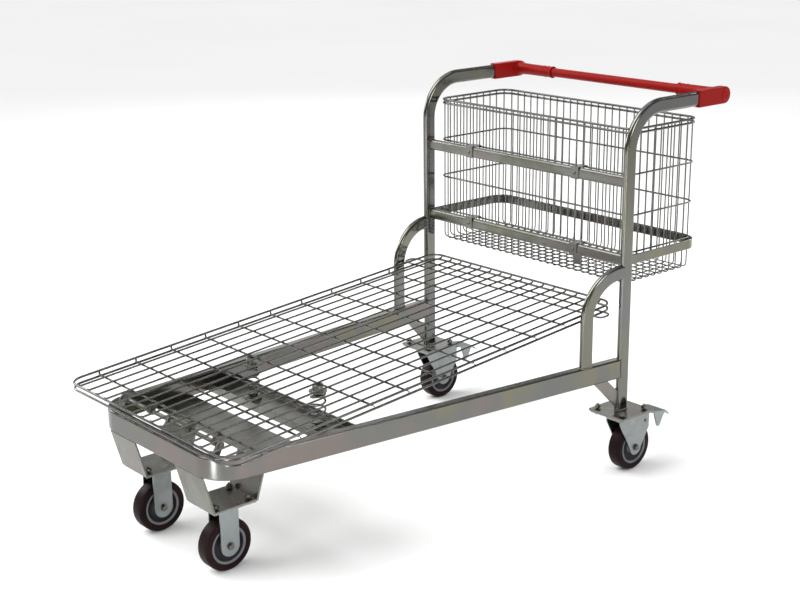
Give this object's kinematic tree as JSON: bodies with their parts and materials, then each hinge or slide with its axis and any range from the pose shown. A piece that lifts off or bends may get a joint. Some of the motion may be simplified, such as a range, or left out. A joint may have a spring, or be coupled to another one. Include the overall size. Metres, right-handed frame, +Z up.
{
  "type": "shopping cart",
  "caption": "Nesting flatbed shopping cart with a sprung wire deck, a wire basket under the push handle, fixed front wheels and braked swivel castors at the rear.",
  "frame": {"origin": "on the floor under the middle of the cart's bounding box", "axes": "+Z is up, -Y points the way the cart is pushed (deck's nose), +Y points back to the person pushing, and +X is that person's left"},
  "size_m": [0.852, 1.5679, 0.9688],
  "materials": {
    "zinc_steel": "bright zinc plate with a faint passivation tint",
    "wire": "bright zinc plated wire",
    "fasteners": "bright zinc plate",
    "red_plastic": "glossy moulded",
    "tyre": "satin elastomer",
    "wheel_core": "moulded satin",
    "bearing_steel": "ground",
    "spring_steel": "oiled spring wire"
  },
  "bodies": {
    "cart_frame": {"base_frame": "zinc_steel", "upright_left": "zinc_steel", "upright_right": "zinc_steel", "brace_left": "zinc_steel", "brace_right": "zinc_steel", "gussets": "zinc_steel", "foot_plates": "zinc_steel", "upper_cross_bar": "zinc_steel", "lower_cross_bar": "zinc_steel", "basket_hoop": "zinc_steel", "saddle_brackets": "zinc_steel", "front_cross_plate": "zinc_steel", "spring_channel": "zinc_steel", "spring_seats": "zinc_steel", "hinge_lugs": "zinc_steel", "hinge_rod": "zinc_steel", "basket_clips": "zinc_steel", "front_castor_plates": "zinc_steel", "front_forks": "zinc_steel", "rear_castor_plates": "zinc_steel", "king_pins": "zinc_steel", "handle_bar": "zinc_steel", "basket_rim": "wire", "basket_rings": "wire", "basket_long_wires": "wire", "basket_side_wires": "wire", "clip_screws": "fasteners", "front_axles": "fasteners", "castor_bolts": "fasteners", "castor_nuts": "fasteners", "handle_corner_left": "red_plastic", "handle_corner_right": "red_plastic", "handle_grip": "red_plastic", "deck_springs": "spring_steel"},
    "load_deck": {"deck_rim": "wire", "deck_side_wire": "wire", "deck_long_wires": "wire", "deck_cross_wires": "wire", "deck_stop_wire": "wire", "hinge_straps": "zinc_steel", "spring_caps": "zinc_steel"},
    "wheel_front_left": {"tyre_front_left": "tyre", "core_front_left": "wheel_core", "bearings_front_left": "bearing_steel"},
    "wheel_front_right": {"tyre_front_right": "tyre", "core_front_right": "wheel_core", "bearings_front_right": "bearing_steel"},
    "wheel_rear_left": {"tyre_rear_left": "tyre", "core_rear_left": "wheel_core", "bearings_rear_left": "bearing_steel"},
    "wheel_rear_right": {"tyre_rear_right": "tyre", "core_rear_right": "wheel_core", "bearings_rear_right": "bearing_steel"},
    "castor_left": {"fork_rear_left": "zinc_steel", "axle_rear_left": "fasteners"},
    "brake_left": {"pedal_left": "zinc_steel"},
    "castor_right": {"fork_rear_right": "zinc_steel", "axle_rear_right": "fasteners"},
    "brake_right": {"pedal_right": "zinc_steel"}
  },
  "joints": [
    {"name": "deck_tilt", "type": "hinge", "parent": "cart_frame", "child": "load_deck", "pos_m": [0, -0.713, 0.328], "axis": [1, 0, 0], "range_deg": [-5, 1.5], "stiffness_Nm_per_rad": 3500, "springref_deg": 0.54, "deforming": ["deck_springs"]},
    {"name": "front_left_spin", "type": "hinge", "parent": "cart_frame", "child": "wheel_front_left", "pos_m": [-0.139, -0.674, 0.0625], "axis": [1, 0, 0], "continuous": true},
    {"name": "front_right_spin", "type": "hinge", "parent": "cart_frame", "child": "wheel_front_right", "pos_m": [0.139, -0.674, 0.0625], "axis": [1, 0, 0], "continuous": true},
    {"name": "castor_left_swivel", "type": "hinge", "parent": "cart_frame", "child": "castor_left", "pos_m": [-0.368, 0.407, 0.156], "axis": [0, 0, 1], "continuous": true},
    {"name": "rear_left_spin", "type": "hinge", "parent": "castor_left", "child": "wheel_rear_left", "pos_m": [-0.368, 0.443, 0.0625], "axis": [1, 0, 0], "continuous": true},
    {"name": "brake_left_press", "type": "hinge", "parent": "castor_left", "child": "brake_left", "pos_m": [-0.368, 0.479, 0.128], "axis": [1, 0, 0], "range_deg": [-18, 0]},
    {"name": "castor_right_swivel", "type": "hinge", "parent": "cart_frame", "child": "castor_right", "pos_m": [0.368, 0.407, 0.156], "axis": [0, 0, 1], "continuous": true},
    {"name": "rear_right_spin", "type": "hinge", "parent": "castor_right", "child": "wheel_rear_right", "pos_m": [0.368, 0.443, 0.0625], "axis": [1, 0, 0], "continuous": true},
    {"name": "brake_right_press", "type": "hinge", "parent": "castor_right", "child": "brake_right", "pos_m": [0.368, 0.479, 0.128], "axis": [1, 0, 0], "range_deg": [-18, 0]}
  ]
}
